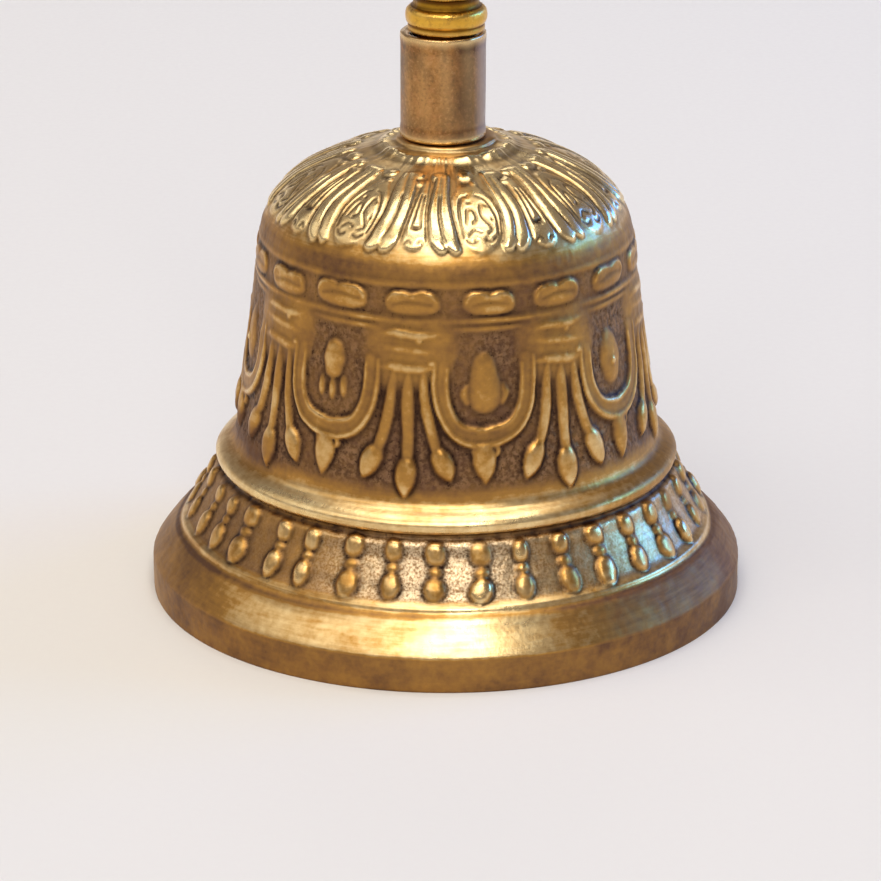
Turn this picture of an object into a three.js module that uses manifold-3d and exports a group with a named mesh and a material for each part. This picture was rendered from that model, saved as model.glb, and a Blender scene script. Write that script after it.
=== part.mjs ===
// Tibetan hand bell: a cast bronze bell under a brass handle, with a ball clapper hung inside.
// Millimetres, +Z up. The origin is on the bell's axis, in the plane that the lip stands on.

import * as THREE from 'three';
import { mergeVertices } from 'three/addons/utils/BufferGeometryUtils.js';
import Module from 'manifold-3d';

const wasm = await Module();
wasm.setup();

// Clearances
const seatGap = 0.3; // between two faces that press on each other on the real bell
const boreGap = 0.3; // between a rod and the wall of its hole
const overcut = 1; // how far a cut runs past the face that it opens

// Bell outside, from the lip up: each inset steps inwards and each rise steps upwards
const lipRadius = 40;
const facetHeight = 4.6;
const lipInset = 3.45;
const lipRise = 4.25;
const grooveDepth = 0.5;
const grooveRise = 0.4;
const ridgeInset = 1.35;
const ridgeRise = 1.35;
const bandInset = 4.5;
const bandRise = 7.3;
const bandHollow = 0.5;
const torusThickness = 2.9;
const torusProud = 0.5;
const waistStep = 2;
const waistInset = 3.85;
const waistRise = 27.7;
const waistHollow = 1;
const crownRise = 13;
const shoulderFullness = 0.68; // share of the crown's rise
const crownFullness = 0.3; // share of the crown's inset
const crownDrop = 0.85;
const bossRadius = 6.45;
const bossRise = 0.9;
const bossFillet = 1; // out from the boss, and half as far up it

// Bell inside
const lipWall = 4.6;
const bandWall = 3.4;
const torusWall = 3;
const waistWall = 2.7;
const shoulderWall = 2.55;
const crownWall = 3.4;

// Tie rod with its eye, nut and washer
const rodRadius = 2;
const eyeRadius = 2.6; // to the middle of the wire
const eyeWire = 1;
const washerRadius = 5;
const washerThickness = 0.8;
const nutAcrossFlats = 7;
const nutHeight = 2.4;
const nutToEye = 0.4;

// Link ring between the two eyes
const linkRadius = 3.6;
const linkWire = 0.8;

// Clapper
const clapperEyeRadius = 2.4;
const clapperEyeWire = 0.9;
const shankRadius = 1.3;
const ballRadius = 6.5;
const ballHeight = 9.5; // of the ball's middle above the lip plane
const shoulderRadius = 2.3;
const shoulderHeight = 0.9;

// Sleeve between the bell and the handle
const sleeveRadius = 5.58;
const sleeveHeight = 13.9;
const sleeveWall = 1.2;
const sleeveLipProud = 0.1;
const sleeveLipHeight = 1.2;
const sleeveOffset = -0.4; // the sleeve was seated a little to one side of the bell's axis

// Handle grip: turned elements from the sleeve up
const spigotLength = 5;
const gripElements = [
	{ shape: 'disc', radius: 5.05, height: 0.75 },
	{ shape: 'swell', edge: 4.85, radius: 5.35, height: 2.4 },
	{ shape: 'swell', edge: 4.6, radius: 4.3, height: 1.6 },
	{ shape: 'disc', radius: 4.9, height: 0.8 },
	{ shape: 'swell', edge: 4.4, radius: 7, height: 9, steps: 8 },
	{ shape: 'disc', radius: 4.9, height: 0.9 },
	{ shape: 'swell', edge: 4.6, radius: 4, height: 2 },
	{ shape: 'swell', edge: 4.4, radius: 5.6, height: 1.8 },
	{ shape: 'swell', edge: 4.3, radius: 5.8, height: 12, steps: 8 },
	{ shape: 'swell', edge: 4.6, radius: 5.7, height: 1.8 },
	{ shape: 'swell', edge: 4.6, radius: 4, height: 2.4 },
	{ shape: 'swell', edge: 4.8, radius: 8.2, height: 5, steps: 6 },
	{ shape: 'disc', radius: 5.4, height: 0.8 },
	{ shape: 'swell', edge: 5.6, radius: 8.4, height: 4.6, steps: 6 },
	{ shape: 'disc', radius: 6.4, height: 0.8 },
];

// Finial: a hub, one straight prong on the axis and curved prongs round it
const hubElements = [
	{ shape: 'disc', radius: 5.4, height: 0.8 },
	{ shape: 'swell', edge: 4.6, radius: 5.8, height: 4.2, steps: 6 },
	{ shape: 'swell', edge: 3.8, radius: 3.4, height: 1.4 },
	{ shape: 'swell', edge: 3.6, radius: 4.8, height: 2.2 },
];
const middleProngElements = [
	{ shape: 'swell', edge: 2.1, radius: 3.1, height: 22, steps: 8 },
	{ shape: 'disc', radius: 2.5, height: 0.8 },
];
const middleProngTip = 7.2;
const sideProngs = 4;
const prongDepth = 2.4; // in the plane that the prong curves in
const prongWidth = 2.8; // across that plane
const prongSink = 1; // how deep the prong's root is cast into the hub
const prongRootRadius = 3.2;
const prongKneeRadius = 8.3;
const prongKneeRise = 2.7;
const prongBulgeRadius = 10.4;
const prongBulgeRise = 8;
const prongFlankRadius = 7.5;
const prongFlankRise = 16.3;
const prongTipRadius = 2.2;
const prongTipRise = 24;
const rodInHub = 4; // how far the rod's end is threaded into the hub

// Facets round each turned piece
const bellSides = 64;
const sleeveSides = 32;
const gripSides = 24;
const rodSides = 16;
const ringSides = 24;
const wireSides = 8;

// Radii that follow
const grooveRadius = lipRadius - lipInset;
const ridgeRadius = grooveRadius - ridgeInset;
const bandRadius = ridgeRadius - bandInset;
const waistRadius = bandRadius - waistStep;
const shoulderStartRadius = waistRadius - waistInset;
const holeRadius = rodRadius + boreGap;

// Heights that follow
const grooveHeight = facetHeight + lipRise;
const ridgeTop = grooveHeight + ridgeRise;
const bandTop = ridgeTop + bandRise;
const waistBottom = bandTop + torusThickness + grooveRise;
const shoulderBottom = waistBottom + waistRise;
const crownTop = shoulderBottom + crownRise;
const bossTop = crownTop + bossRise;
const crownInside = crownTop - crownWall;
const washerTop = crownInside - seatGap;
const nutTop = washerTop - washerThickness - seatGap;
const eyeHeight = nutTop - nutHeight - nutToEye - eyeWire - eyeRadius;
const linkPivot = eyeHeight - eyeRadius;
const linkHeight = linkPivot + eyeWire + linkWire + seatGap - linkRadius;
const clapperPivot = linkHeight - linkRadius;
const clapperEyeHeight = clapperPivot + linkWire + clapperEyeWire + seatGap - clapperEyeRadius;
const sleeveBottom = bossTop + seatGap;
const sleeveTop = sleeveBottom + sleeveHeight;
const gripBottom = sleeveTop + seatGap;
const hubBottom = gripBottom + stackHeight(gripElements) + seatGap;
const rodTop = hubBottom + rodInHub;

function stackHeight(elements) {
	return elements.reduce((sum, element) => sum + element.height, 0);
}

// Bronze of the bell and sleeve, brass of the handle, iron and steel inside
const finishes = {
	bronze: { color: 0xa9793f, roughness: 0.36, metalness: 1 },
	brass: { color: 0xc9962f, roughness: 0.28, metalness: 1 },
	steel: { color: 0x8d8b86, roughness: 0.42, metalness: 1 },
	iron: { color: 0x4b4742, roughness: 0.6, metalness: 1 },
};

// Six times the volume that a geometry's triangles enclose, negative when they face inwards.
function enclosed(position, triangles) {
	const [a, b, c] = [new THREE.Vector3(), new THREE.Vector3(), new THREE.Vector3()];
	let sum = 0;
	for (let i = 0; i < triangles.length; i += 3) {
		a.fromBufferAttribute(position, triangles[i]);
		b.fromBufferAttribute(position, triangles[i + 1]);
		c.fromBufferAttribute(position, triangles[i + 2]);
		sum += a.dot(b.cross(c));
	}
	return sum;
}

// A geometry with its shared corners merged, no flattened triangles and its faces out.
function closed(geometry) {
	const bare = geometry.clone();
	bare.deleteAttribute('normal');
	bare.deleteAttribute('uv');
	const merged = mergeVertices(bare, 1e-4);
	const index = merged.index.array;
	const triangles = [];
	for (let i = 0; i < index.length; i += 3) {
		const [a, b, c] = [index[i], index[i + 1], index[i + 2]];
		if (a !== b && b !== c && c !== a) triangles.push(a, b, c);
	}
	if (enclosed(merged.attributes.position, triangles) < 0) triangles.reverse();
	merged.setIndex(triangles);
	return merged;
}

function toSolid(geometry) {
	const whole = closed(geometry);
	const vertProperties = new Float32Array(whole.attributes.position.array);
	const triVerts = new Uint32Array(whole.index.array);
	return new wasm.Manifold(new wasm.Mesh({ numProp: 3, vertProperties, triVerts }));
}

function toGeometry(solid) {
	const mesh = solid.getMesh();
	const geometry = new THREE.BufferGeometry();
	geometry.setAttribute('position', new THREE.BufferAttribute(mesh.vertProperties, 3));
	geometry.setIndex(new THREE.BufferAttribute(mesh.triVerts, 1));
	return geometry;
}

function joined(geometries) {
	return toGeometry(geometries.map(toSolid).reduce((sum, solid) => sum.add(solid)));
}

// Points of an outline, as radius and height, turned about +Z.
function turned(outline, sides) {
	const geometry = new THREE.LatheGeometry(outline, sides);
	geometry.rotateX(Math.PI / 2);
	return closed(geometry);
}

function point(radius, height) {
	return new THREE.Vector2(radius, height);
}

// A disc keeps its radius; a swell bulges or hollows from its edge to its radius and back.
function stackOutline(elements, bottom) {
	const outline = [];
	let height = bottom;
	for (const { shape, radius, height: rise, edge, steps = 4 } of elements) {
		if (shape === 'disc') {
			outline.push(point(radius, height), point(radius, height + rise));
		} else {
			for (let i = 0; i <= steps; i++) {
				const turn = (Math.PI * i) / steps;
				const reach = edge + (radius - edge) * Math.sin(turn);
				outline.push(point(reach, height + (rise * (1 - Math.cos(turn))) / 2));
			}
		}
		height += rise;
	}
	return outline;
}

// A wire ring in the XZ plane; turned a quarter about Z it lies in the YZ plane.
function wireRing(radius, wire) {
	const ring = new THREE.TorusGeometry(radius, wire, wireSides, ringSides);
	ring.rotateX(Math.PI / 2);
	return closed(ring);
}

function bellOutside() {
	const torusHalf = torusThickness / 2;
	const torusMiddle = point(bandRadius + torusProud - torusHalf, bandTop + torusHalf);
	const shoulderStart = point(shoulderStartRadius, shoulderBottom);
	const crownEnd = point(bossRadius + bossFillet, crownTop);

	const lip = new THREE.QuadraticBezierCurve(
		point(lipRadius, facetHeight),
		point(lipRadius - lipInset / 4, facetHeight + lipRise / 2),
		point(grooveRadius, grooveHeight),
	);
	const band = new THREE.QuadraticBezierCurve(
		point(ridgeRadius, ridgeTop),
		point((ridgeRadius + bandRadius) / 2 - bandHollow, (ridgeTop + bandTop) / 2),
		point(bandRadius, bandTop),
	);
	const torus = new THREE.EllipseCurve(
		torusMiddle.x, torusMiddle.y, torusHalf, torusHalf, -Math.PI / 3, Math.PI / 2);
	const waist = new THREE.QuadraticBezierCurve(
		point(waistRadius, waistBottom),
		point(waistRadius - waistInset / 2 - waistHollow, waistBottom + waistRise / 2),
		shoulderStart,
	);
	const crown = new THREE.CubicBezierCurve(
		shoulderStart,
		point(shoulderStart.x, shoulderBottom + shoulderFullness * crownRise),
		point(crownEnd.x + crownFullness * (shoulderStart.x - crownEnd.x), crownTop - crownDrop),
		crownEnd,
	);
	return [
		point(lipRadius, 0),
		...lip.getPoints(3),
		point(grooveRadius - grooveDepth, grooveHeight + grooveRise),
		point(ridgeRadius + ridgeInset / 2, ridgeTop - grooveRise),
		...band.getPoints(3),
		...torus.getPoints(6),
		...waist.getPoints(6),
		...crown.getPoints(8).slice(1),
		point(bossRadius, crownTop + bossFillet / 2),
		point(bossRadius, bossTop),
	];
}

// The inside follows the outside, one wall thickness in, and ends flat where the washer sits.
function bellInside() {
	const waistMiddleRadius = waistRadius - (waistInset + waistHollow) / 2;
	const shoulder = point(shoulderStartRadius - shoulderWall, shoulderBottom);
	const flat = point(washerRadius + boreGap, crownInside);
	const side = new THREE.SplineCurve([
		point(lipRadius - lipWall, 0),
		point(ridgeRadius - bandWall, ridgeTop),
		point(bandRadius - torusWall, bandTop),
		point(waistRadius - waistWall, waistBottom),
		point(waistMiddleRadius - waistWall, waistBottom + waistRise / 2),
		shoulder,
	]);
	const top = new THREE.CubicBezierCurve(
		shoulder,
		point(shoulder.x, shoulder.y + shoulderFullness * (flat.y - shoulder.y)),
		point(flat.x + crownFullness * (shoulder.x - flat.x), flat.y),
		flat,
	);
	return [...side.getPoints(11), ...top.getPoints(5).slice(1)];
}

function bellBody() {
	const outline = [
		...bellOutside(),
		point(holeRadius, bossTop),
		point(holeRadius, crownInside),
		...bellInside().reverse(),
		point(lipRadius, 0),
	];
	return turned(outline, bellSides);
}

function neckSleeve() {
	const bore = sleeveRadius - sleeveWall;
	const outline = [
		point(bore, 0),
		point(sleeveRadius, 0),
		point(sleeveRadius, sleeveHeight - sleeveLipHeight),
		point(sleeveRadius + sleeveLipProud, sleeveHeight - sleeveLipHeight / 2),
		point(sleeveRadius, sleeveHeight),
		point(bore, sleeveHeight),
		point(bore, 0),
	];
	return turned(outline, sleeveSides);
}

// The spigot hangs in the sleeve, and the off-centre sleeve still clears it.
function handleGrip() {
	const spigotRadius = sleeveRadius - sleeveWall - boreGap - Math.abs(sleeveOffset);
	const top = stackHeight(gripElements);
	const outline = [
		point(holeRadius, -spigotLength),
		point(spigotRadius, -spigotLength),
		point(spigotRadius, 0),
		...stackOutline(gripElements, 0),
		point(holeRadius, top),
		point(holeRadius, -spigotLength),
	];
	return turned(outline, gripSides);
}

// One curved prong as a crescent that rises from its root, thickened by its width.
function sideProng() {
	const inwards = prongDepth / Math.SQRT2;
	const outer = [
		point(prongRootRadius, 0),
		point(prongKneeRadius, prongKneeRise),
		point(prongBulgeRadius, prongBulgeRise),
		point(prongFlankRadius, prongFlankRise),
		point(prongTipRadius, prongTipRise),
	];
	const inner = [
		point(prongTipRadius / 2, prongTipRise - prongDepth),
		point(prongFlankRadius - inwards, prongFlankRise - inwards),
		point(prongBulgeRadius - prongDepth, prongBulgeRise),
		point(prongKneeRadius - inwards, prongKneeRise + inwards),
		point(prongRootRadius / 2, prongDepth),
	];
	const crescent = new THREE.Shape([
		...new THREE.SplineCurve(outer).getPoints(10),
		...new THREE.SplineCurve(inner).getPoints(10),
	]);
	const prong = new THREE.ExtrudeGeometry(crescent, { depth: prongWidth, bevelEnabled: false });
	prong.translate(0, 0, -prongWidth / 2);
	prong.rotateX(Math.PI / 2);
	return prong;
}

function vajraFinial() {
	const hubHeight = stackHeight(hubElements);
	const middleHeight = stackHeight(middleProngElements);
	const hub = turned([
		point(0, 0),
		...stackOutline(hubElements, 0),
		...stackOutline(middleProngElements, hubHeight),
		point(0, hubHeight + middleHeight + middleProngTip),
	], gripSides);
	const boreTop = rodInHub + seatGap;
	const bore = new THREE.CylinderGeometry(holeRadius, holeRadius, boreTop + overcut, rodSides);
	bore.rotateX(Math.PI / 2);
	bore.translate(0, 0, (boreTop - overcut) / 2);
	let solid = toSolid(hub);
	for (let i = 0; i < sideProngs; i++) {
		const prong = sideProng();
		prong.translate(0, 0, hubHeight - prongSink);
		prong.rotateZ((2 * Math.PI * (i + 0.5)) / sideProngs);
		solid = solid.add(toSolid(prong));
	}
	return toGeometry(solid.subtract(toSolid(bore)));
}

// The rod's lower end is bent round into the eye that the clapper hangs from.
function tieRod() {
	const shank = turned([
		point(0, eyeRadius),
		point(rodRadius, eyeRadius),
		point(rodRadius, rodTop - eyeHeight),
		point(0, rodTop - eyeHeight),
	], rodSides);
	const eye = wireRing(eyeRadius, eyeWire);
	eye.rotateZ(Math.PI / 2);
	return joined([shank, eye]);
}

function crownWasher() {
	return turned([
		point(holeRadius, 0),
		point(washerRadius, 0),
		point(washerRadius, washerThickness),
		point(holeRadius, washerThickness),
		point(holeRadius, 0),
	], sleeveSides);
}

function crownNut() {
	const cornerRadius = nutAcrossFlats / Math.sqrt(3);
	const hexagon = new THREE.Shape();
	for (let i = 0; i < 6; i++) {
		const turn = (Math.PI * i) / 3;
		const corner = point(cornerRadius * Math.cos(turn), cornerRadius * Math.sin(turn));
		if (i === 0) hexagon.moveTo(corner.x, corner.y);
		else hexagon.lineTo(corner.x, corner.y);
	}
	hexagon.closePath();
	const hole = new THREE.Path();
	hole.absarc(0, 0, holeRadius, 0, 2 * Math.PI, true);
	hexagon.holes.push(hole);
	const options = { depth: nutHeight, bevelEnabled: false, curveSegments: rodSides };
	return closed(new THREE.ExtrudeGeometry(hexagon, options));
}

function hangerLink() {
	return wireRing(linkRadius, linkWire);
}

// The shank runs through the ball between a shoulder above it and a peened head below it.
function clapperRod() {
	const ballTop = ballHeight + ballFlat() - clapperEyeHeight;
	const ballBottom = ballHeight - ballFlat() - clapperEyeHeight;
	const shoulderBase = ballTop + seatGap;
	const headTop = ballBottom - seatGap;
	const shank = turned([
		point(0, headTop - shoulderHeight),
		point(shoulderRadius, headTop - shoulderHeight),
		point(shoulderRadius, headTop),
		point(shankRadius, headTop),
		point(shankRadius, shoulderBase),
		point(shoulderRadius, shoulderBase),
		point(shoulderRadius, shoulderBase + shoulderHeight),
		point(shankRadius, shoulderBase + shoulderHeight),
		point(shankRadius, -clapperEyeRadius),
		point(0, -clapperEyeRadius),
	], rodSides);
	const eye = wireRing(clapperEyeRadius, clapperEyeWire);
	eye.rotateZ(Math.PI / 2);
	return joined([shank, eye]);
}

// Half the length of the ball's bore, where the bore meets the round surface.
function ballFlat() {
	return Math.sqrt(ballRadius ** 2 - (shankRadius + boreGap) ** 2);
}

function clapperBall() {
	const bore = shankRadius + boreGap;
	const tilt = Math.acos(bore / ballRadius);
	const surface = new THREE.EllipseCurve(0, 0, ballRadius, ballRadius, -tilt, tilt);
	return turned([...surface.getPoints(12), point(bore, -ballFlat())], ringSides);
}

function piece(name, geometry, finish, height = 0) {
	const mesh = new THREE.Mesh(geometry, new THREE.MeshStandardMaterial(finish));
	mesh.name = name;
	mesh.position.z = height;
	return mesh;
}

const bell = new THREE.Group();
const handle = new THREE.Group();
const clapper = new THREE.Group();

const sleeve = piece('neck_sleeve', neckSleeve(), finishes.bronze, sleeveBottom);
sleeve.position.x = sleeveOffset;
handle.add(
	sleeve,
	piece('handle_grip', handleGrip(), finishes.brass, gripBottom),
	piece('vajra_finial', vajraFinial(), finishes.brass, hubBottom),
	piece('tie_rod', tieRod(), finishes.steel, eyeHeight),
	piece('crown_washer', crownWasher(), finishes.steel, washerTop - washerThickness),
	piece('crown_nut', crownNut(), finishes.steel, nutTop - nutHeight),
);
clapper.add(
	piece('hanger_link', hangerLink(), finishes.iron, linkHeight),
	piece('clapper_rod', clapperRod(), finishes.iron, clapperEyeHeight),
	piece('clapper_ball', clapperBall(), finishes.brass, ballHeight),
);
bell.add(piece('bell_body', bellBody(), finishes.bronze), handle, clapper);

export default bell;
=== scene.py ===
from math import cos, pi, radians, sin, sqrt, tan

import bpy
import numpy as np
from mathutils import Matrix, Vector


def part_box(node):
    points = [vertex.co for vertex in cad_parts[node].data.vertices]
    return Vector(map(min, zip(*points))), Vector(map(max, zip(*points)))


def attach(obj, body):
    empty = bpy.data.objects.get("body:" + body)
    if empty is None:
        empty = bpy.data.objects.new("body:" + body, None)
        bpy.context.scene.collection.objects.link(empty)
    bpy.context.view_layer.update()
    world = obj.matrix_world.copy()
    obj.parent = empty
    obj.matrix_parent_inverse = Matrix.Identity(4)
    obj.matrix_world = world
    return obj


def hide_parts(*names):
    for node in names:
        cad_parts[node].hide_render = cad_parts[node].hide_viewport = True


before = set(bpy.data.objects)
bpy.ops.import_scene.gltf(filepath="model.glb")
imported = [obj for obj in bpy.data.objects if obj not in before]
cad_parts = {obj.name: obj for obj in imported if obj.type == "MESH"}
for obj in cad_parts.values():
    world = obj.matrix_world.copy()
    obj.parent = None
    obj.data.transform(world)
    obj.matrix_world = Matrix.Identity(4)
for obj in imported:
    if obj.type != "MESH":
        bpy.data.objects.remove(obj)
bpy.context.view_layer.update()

# Tibetan hand bell. Lengths are in metres, except where a name or comment says mm:
# the ornament is drawn in millimetres of height and degrees of turn round the axis.
# A turn of 0 faces the camera, along -Y, and a positive turn goes to its right.

MM = 0.001
SEED = 11

# Camera
CAMERA_PLACE = (-0.00076, -0.480, 0.1984)
CAMERA_PITCH = 20.44  # degrees below level
CAMERA_LENS = 154.13
SENSOR = 36.0

LAMP_DISTANCE = 2.0
LAMP_AIM = Vector((0, 0, 0.03))
WARM = (1.0, 0.968, 0.925)

# Meshes
SECTION_STEP = 0.05  # mm between points of a softened section
CORNER = radians(35)  # a section that turns more than this has an edge there
BELL_COLUMNS = 960
BELL_ROW = 0.23  # mm between rows outside
BELL_EDGE = 0.12  # mm, how far its edges are rounded
TORUS_EDGE = 0.8
INSIDE_ROW = 1.2
GRIP_COLUMNS = 256
GRIP_ROW = 0.2
HUB_COLUMNS = 160
HUB_ROW = 0.25
NUT_COLUMNS = 192
ROD_COLUMNS = 64
BAR_COLUMNS = 32
WIRE_COLUMNS = 28
WIRE_ROWS = 144  # round a whole ring
SWELL_STEPS = 24
WAVES = 24  # that add up to one slow unevenness
SMOOTHINGS = 3  # of a melted piece
THREAD = (53.2, 62.5)  # mm, from under the nut to the top of the crown
THREAD_PITCH = 0.7
THREAD_ROW = 0.07
POLE = 0.001  # mm, the radius that stands for the axis itself


# Sections and turned meshes

def cad_section(node):
    """A node's cut through its own axis, a loop of (radius, height) in mm from its lowest outer corner up."""
    low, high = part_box(node)
    axis = (low.x + high.x) / 2
    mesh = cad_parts[node].data
    corners = {}
    for vertex in mesh.vertices:
        radius = vertex.co.x - axis
        if abs(vertex.co.y) < 1e-6 and radius > 1e-6:
            corners[vertex.index] = (round(radius / MM, 3), round(vertex.co.z / MM, 3))
    links = {}
    for edge in mesh.edges:
        a, b = (corners.get(i) for i in edge.vertices)
        if a and b and a != b:
            links.setdefault(a, set()).add(b)
            links.setdefault(b, set()).add(a)
    lowest = min(height for _, height in links)
    start = max(corner for corner in links if corner[1] == lowest)
    loop = [start, max(links[start])]
    while loop[-1] != start:
        ahead = links[loop[-1]] - {loop[-2]}
        loop.append(ahead.pop())
    return np.array(loop[:-1])


def lengths(points):
    """How far along its own line each point lies."""
    return np.concatenate([[0], np.cumsum(np.hypot(*np.diff(points, axis=0).T))])


def cubic(points, slopes, index, t, span=1):
    """Points a share t along the smooth pieces that start at each index and are a span long."""
    return ((1 + 2 * t) * (1 - t) ** 2 * points[index] + t * (1 - t) ** 2 * span * slopes[index]
            + t * t * (3 - 2 * t) * points[index + 1] - t * t * (1 - t) * span * slopes[index + 1])


def bell_curve(steps):
    """Weights that add up to 1 and fall off to both sides."""
    weights = np.exp(-0.5 * steps ** 2)
    return weights / weights.sum()


def smooth_run(run, step):
    """Points about a step apart along a smooth curve through the run."""
    knots = lengths(run)
    if len(run) == 2:
        return respaced(run, step)
    places = np.linspace(0, knots[-1], max(2, int(round(knots[-1] / step)) + 1))
    slopes = np.gradient(run, knots, axis=0, edge_order=2)
    index = np.clip(np.searchsorted(knots, places, side="right") - 1, 0, len(run) - 2)
    span = (knots[index + 1] - knots[index])[:, None]
    return cubic(run, slopes, index, (places - knots[index])[:, None] / span, span)


def softened(points, reach):
    """An open section with its curves made smooth and its edges rounded over a reach in mm."""
    points = np.asarray(points, float)
    runs, first = [], 0
    for i in range(1, len(points) - 1):
        before, after = points[i] - points[i - 1], points[i + 1] - points[i]
        turn = np.arctan2(before[0] * after[1] - before[1] * after[0], before @ after)
        straight = min(abs(before).min(), abs(after).min()) == 0
        if straight or abs(turn) > CORNER:
            runs.append(points[first:i + 1])
            first = i
    runs.append(points[first:])
    fine = np.concatenate([smooth_run(run, SECTION_STEP)[bool(n):] for n, run in enumerate(runs)])
    half = int(round(3 * reach / SECTION_STEP))
    weights = bell_curve(np.arange(-half, half + 1) * SECTION_STEP / reach)
    padded = np.concatenate([
        2 * fine[0] - fine[half:0:-1],
        fine,
        2 * fine[-1] - fine[-2:-half - 2:-1],
    ])
    return np.stack([np.convolve(padded[:, i], weights, "valid") for i in (0, 1)], 1)


def respaced(section, step):
    """The same section with its points a step in mm apart."""
    along = lengths(section)
    places = np.linspace(0, along[-1], max(2, int(round(along[-1] / step)) + 1))
    return np.stack([np.interp(places, along, section[:, i]) for i in (0, 1)], 1)


def heights(node):
    """A node's lowest and highest height in mm."""
    return [corner.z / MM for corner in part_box(node)]


def column_turns(columns):
    return np.arange(columns) * 360 / columns - 180


def ring_points(section, columns):
    """Every point of a turned section, as rows by columns by xyz in metres."""
    turns = np.radians(column_turns(columns))
    radius, height = section[:, :1] * MM, section[:, 1:] * MM
    return np.stack([radius * np.sin(turns), -radius * np.cos(turns), height + 0 * turns], 2)


def new_object(name, mesh):
    made = bpy.data.objects.new(name, mesh)
    bpy.context.scene.collection.objects.link(made)
    return made


def store(mesh, field, values):
    """Keeps a number for each point of a mesh, for its material to read."""
    attribute = mesh.attributes.new(field, "FLOAT", "POINT")
    attribute.data.foreach_set("value", values.reshape(-1).astype(np.float32))


def grid_object(name, points, fields=None, closed=True):
    """A mesh of quads over a grid that wraps round in its columns, and in its rows where it is closed."""
    rows, columns, _ = points.shape
    index = np.arange(rows * columns).reshape(rows, columns)
    right = np.roll(index, -1, axis=1)
    above, above_right = np.roll(index, -1, axis=0), np.roll(right, -1, axis=0)
    last = rows if closed else rows - 1
    quads = np.stack([index, right, above_right, above], 2)[:last].reshape(-1, 4)
    mesh = bpy.data.meshes.new(name)
    mesh.vertices.add(rows * columns)
    mesh.vertices.foreach_set("co", points.reshape(-1).astype(np.float32))
    mesh.loops.add(quads.size)
    mesh.loops.foreach_set("vertex_index", quads.reshape(-1).astype(np.int32))
    mesh.polygons.add(len(quads))
    mesh.polygons.foreach_set("loop_start", np.arange(0, quads.size, 4, dtype=np.int32))
    mesh.polygons.foreach_set("use_smooth", np.ones(len(quads), bool))
    mesh.update(calc_edges=True)
    mesh.validate()
    for field, values in (fields or {}).items():
        store(mesh, field, values)
    return new_object(name, mesh)


def blurred(field, reach):
    """The field averaged over a round spot with a reach in cells."""
    half = int(3 * reach)
    weights = bell_curve(np.arange(-half, half + 1) / reach)
    padded = np.pad(field, ((half, half), (0, 0)), mode="edge")
    rows = sum(w * padded[i:i + len(field)] for i, w in enumerate(weights))
    return sum(w * np.roll(rows, i - half, axis=1) for i, w in enumerate(weights))


# Relief

DRIFT = 0.6  # mm, the most that the slow drift moves a shape


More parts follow.
